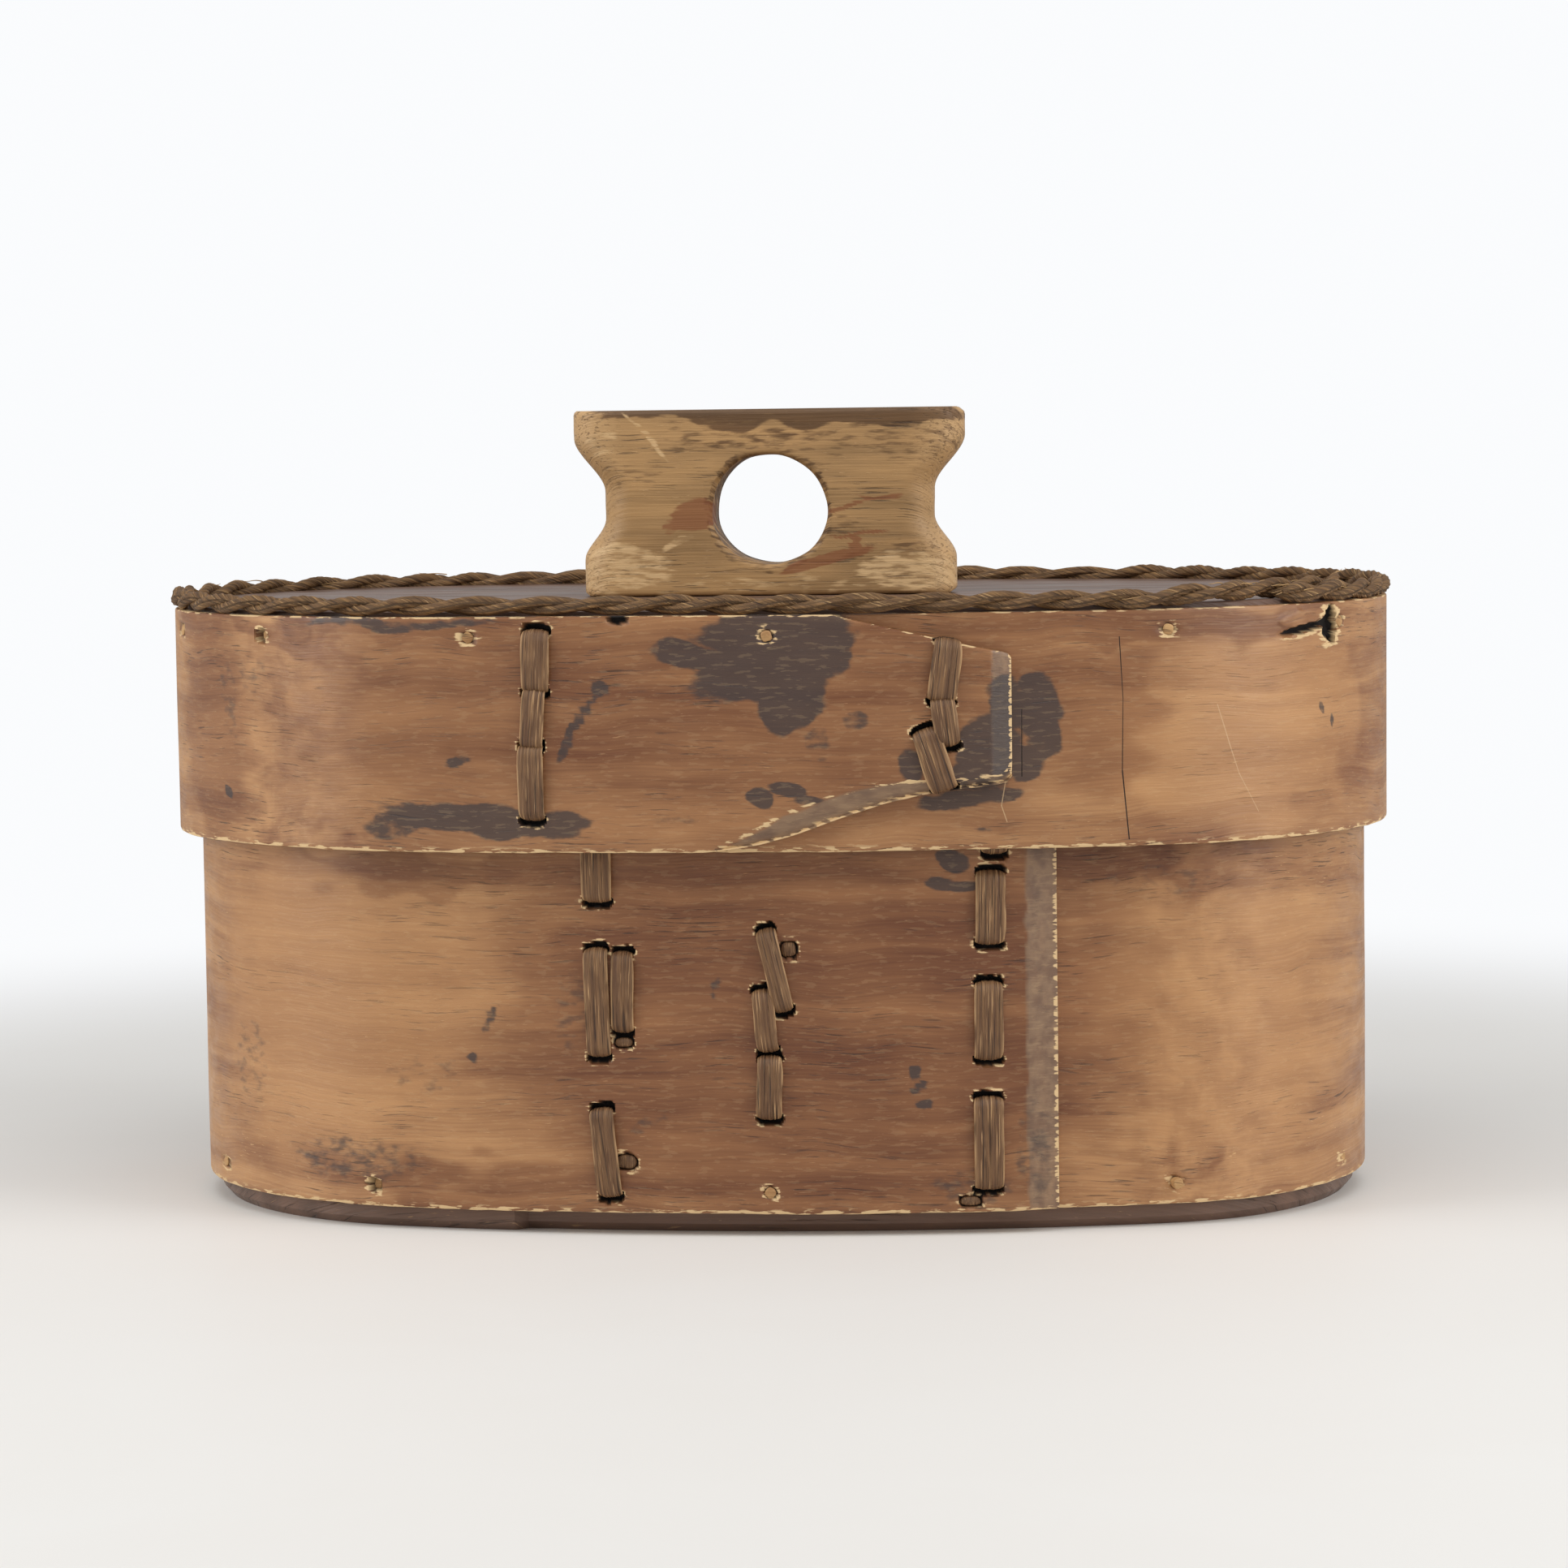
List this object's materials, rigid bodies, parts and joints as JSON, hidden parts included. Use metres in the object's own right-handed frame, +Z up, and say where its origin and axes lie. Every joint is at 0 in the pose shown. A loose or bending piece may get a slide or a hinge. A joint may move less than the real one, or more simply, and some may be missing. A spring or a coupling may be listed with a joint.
{
  "type": "bentwood box",
  "caption": "Oval bentwood box of root-sewn bent strips pegged round wooden boards, with a lift-off lid, a twisted cord round its rim and a carved handle with a finger hole.",
  "frame": {"origin": "middle of the base board's underside", "axes": "+Z up, +X to the right along the box's length, with the sewn laps facing -Y"},
  "size_m": [0.3634, 0.2157, 0.231],
  "materials": {
    "strip_wood": "aged, smoke-browned and hand-worn, satin",
    "board_wood": "weathered grey-brown, dull",
    "handle_wood": "knife-cut, worn pale, satin",
    "peg_wood": "whittled, pale end grain",
    "split_root": "split root, fibrous, satin",
    "twisted_cord": "two plies of twisted root fibre, dry"
  },
  "bodies": {
    "box": {"body_band": "strip_wood", "base_board": "board_wood", "base_pegs": "peg_wood", "body_root_left_upper": "split_root", "body_root_left_lower": "split_root", "body_root_middle": "split_root", "body_root_right": "split_root"},
    "lid": {"lid_band": "strip_wood", "lid_board": "board_wood", "lid_pegs": "peg_wood", "lid_root_left": "split_root", "lid_root_right": "split_root", "rim_cord": "twisted_cord", "handle": "handle_wood", "handle_dowels": "peg_wood"}
  },
  "joints": [
    {"name": "lid_lift", "type": "slide", "parent": "box", "child": "lid", "axis": [0, 0, 1], "range_m": [0, 0.16]}
  ]
}
